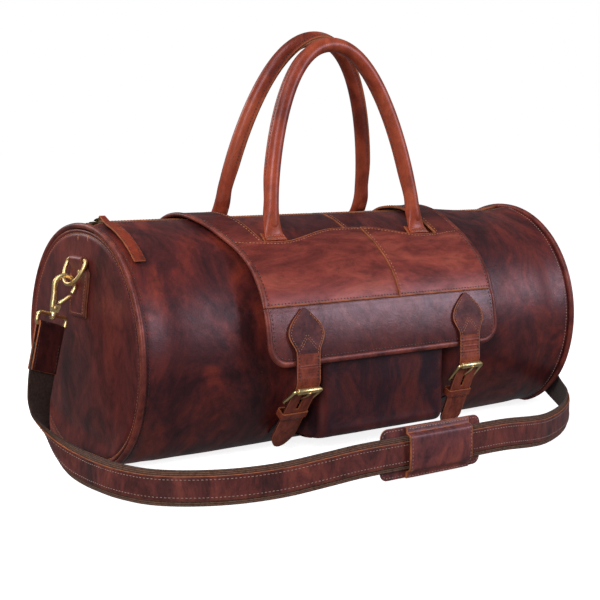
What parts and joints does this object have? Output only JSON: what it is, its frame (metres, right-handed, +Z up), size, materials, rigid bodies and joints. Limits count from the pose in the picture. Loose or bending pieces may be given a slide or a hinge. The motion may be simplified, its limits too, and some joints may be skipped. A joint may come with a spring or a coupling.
{
  "type": "duffel_bag",
  "caption": "Round leather duffel bag with a buckled saddle flap over a front pocket, rolled handles, a top zip and a clip-on shoulder strap with a pad",
  "frame": {"origin": "middle of the flat base, on the surface that the bag stands on", "axes": "+X along the bag's length, -Y to the front with the pocket and flap, +Z up to the zip and handles"},
  "size_m": [0.8375, 0.4335, 0.5106],
  "materials": {
    "body_leather": "waxed, mottled, satin",
    "saddle_leather": "waxed, mottled, satin",
    "handle_leather": "waxed, smooth, satin",
    "brass": "antique",
    "zip_metal": "dark antique",
    "webbing": "woven",
    "lining_cloth": "woven cotton",
    "handle_cord": "twisted cord"
  },
  "bodies": {
    "bag": {"base_panel": "body_leather", "front_panel_left": "body_leather", "front_panel_right": "body_leather", "back_panel_left": "body_leather", "back_panel_right": "body_leather", "end_panel_left": "body_leather", "end_panel_right": "body_leather", "pocket": "body_leather", "shoulder_overlay": "body_leather", "strap_end_left": "body_leather", "strap_end_right": "body_leather", "piping_left": "saddle_leather", "piping_right": "saddle_leather", "saddle_left": "saddle_leather", "saddle_right": "saddle_leather", "ring_tab_left": "saddle_leather", "ring_tab_right": "saddle_leather", "handle_tab_front_left": "handle_leather", "handle_tab_front_right": "handle_leather", "handle_tab_back_left": "handle_leather", "handle_tab_back_right": "handle_leather", "hook_eye_left": "brass", "hook_eye_right": "brass", "zip_teeth_front": "zip_metal", "zip_teeth_back": "zip_metal", "shoulder_webbing": "webbing", "zip_tape_front": "webbing", "zip_tape_back": "webbing", "lining": "lining_cloth"},
    "flap": {"flap_panel": "body_leather", "flap_binding": "saddle_leather", "flap_strap_left": "saddle_leather", "flap_strap_right": "saddle_leather", "buckle_frame_left": "brass", "buckle_frame_right": "brass", "buckle_chape_left": "saddle_leather", "buckle_chape_right": "saddle_leather", "keeper_left": "saddle_leather", "keeper_right": "saddle_leather"},
    "roller_left": {"buckle_roller_left": "brass"},
    "roller_right": {"buckle_roller_right": "brass"},
    "tongue_left": {"buckle_tongue_left": "brass"},
    "tongue_right": {"buckle_tongue_right": "brass"},
    "front_handle": {"handle_front": "handle_leather", "handle_core_front": "handle_cord"},
    "back_handle": {"handle_back": "handle_leather", "handle_core_back": "handle_cord"},
    "slider": {"zip_slider": "zip_metal"},
    "puller": {"zip_link": "zip_metal", "zip_puller": "handle_leather"},
    "ring_left": {"d_ring_left": "brass"},
    "ring_right": {"d_ring_right": "brass"},
    "hook_left": {"hook_body_left": "brass"},
    "hook_right": {"hook_body_right": "brass"},
    "gate_left": {"hook_gate_left": "brass"},
    "gate_right": {"hook_gate_right": "brass"},
    "pad": {"pad_back": "saddle_leather", "pad_cover": "saddle_leather"}
  },
  "joints": [
    {"name": "flap_lift", "type": "hinge", "parent": "bag", "child": "flap", "pos_m": [-0.009, -0.15042, 0.18403], "axis": [-1, 0, 0], "range_deg": [0, 105]},
    {"name": "roller_turn_left", "type": "hinge", "parent": "flap", "child": "roller_left", "pos_m": [-0.137, -0.16367, 0.08601], "axis": [1, 0, 0], "continuous": true},
    {"name": "tongue_lift_left", "type": "hinge", "parent": "flap", "child": "tongue_left", "pos_m": [-0.137, -0.1407, 0.07055], "axis": [1, 0, 0], "range_deg": [0, 100]},
    {"name": "roller_turn_right", "type": "hinge", "parent": "flap", "child": "roller_right", "pos_m": [0.119, -0.16637, 0.09068], "axis": [1, 0, 0], "continuous": true},
    {"name": "tongue_lift_right", "type": "hinge", "parent": "flap", "child": "tongue_right", "pos_m": [0.119, -0.14712, 0.07079], "axis": [1, 0, 0], "range_deg": [0, 100]},
    {"name": "front_handle_fold", "type": "hinge", "parent": "bag", "child": "front_handle", "pos_m": [-0.009, -0.07016, 0.27358], "axis": [-1, 0, 0], "range_deg": [-80, 6]},
    {"name": "back_handle_fold", "type": "hinge", "parent": "bag", "child": "back_handle", "pos_m": [-0.009, 0.04124, 0.28629], "axis": [-1, 0, 0], "range_deg": [-4, 80]},
    {"name": "zip_slide", "type": "slide", "parent": "bag", "child": "slider", "axis": [1, 0, 0], "range_m": [0, 0.09]},
    {"name": "puller_swing", "type": "hinge", "parent": "slider", "child": "puller", "pos_m": [-0.318, 0, 0.2812], "axis": [-1, 0, 0], "range_deg": [0, 150]},
    {"name": "ring_swing_left", "type": "hinge", "parent": "bag", "child": "ring_left", "pos_m": [-0.34965, -0.008, 0.238], "axis": [0, 1, 0], "range_deg": [-4, 4]},
    {"name": "hook_swivel_left", "type": "hinge", "parent": "bag", "child": "hook_left", "pos_m": [-0.37995, -0.00693, 0.17995], "axis": [0.309, 0, 0.9511], "range_deg": [-10, 10]},
    {"name": "gate_open_left", "type": "hinge", "parent": "hook_left", "child": "gate_left", "pos_m": [-0.3737, -0.0074, 0.18895], "axis": [-0.139, -0.9893, 0.0452], "range_deg": [0, 40], "stiffness_Nm_per_rad": 0.02, "springref_deg": -20.05},
    {"name": "ring_swing_right", "type": "hinge", "parent": "bag", "child": "ring_right", "pos_m": [0.34965, -0.008, 0.238], "axis": [0, -1, 0], "range_deg": [-4, 4]},
    {"name": "hook_swivel_right", "type": "hinge", "parent": "bag", "child": "hook_right", "pos_m": [0.37995, -0.00693, 0.17995], "axis": [-0.309, 0, 0.9511], "range_deg": [-10, 10]},
    {"name": "gate_open_right", "type": "hinge", "parent": "hook_right", "child": "gate_right", "pos_m": [0.3737, -0.0074, 0.18895], "axis": [-0.139, 0.9893, -0.0452], "range_deg": [0, 40], "stiffness_Nm_per_rad": 0.02, "springref_deg": -20.05},
    {"name": "pad_slide", "type": "slide", "parent": "bag", "child": "pad", "axis": [1, 0, 0], "range_m": [-0.018, 0.018]}
  ]
}
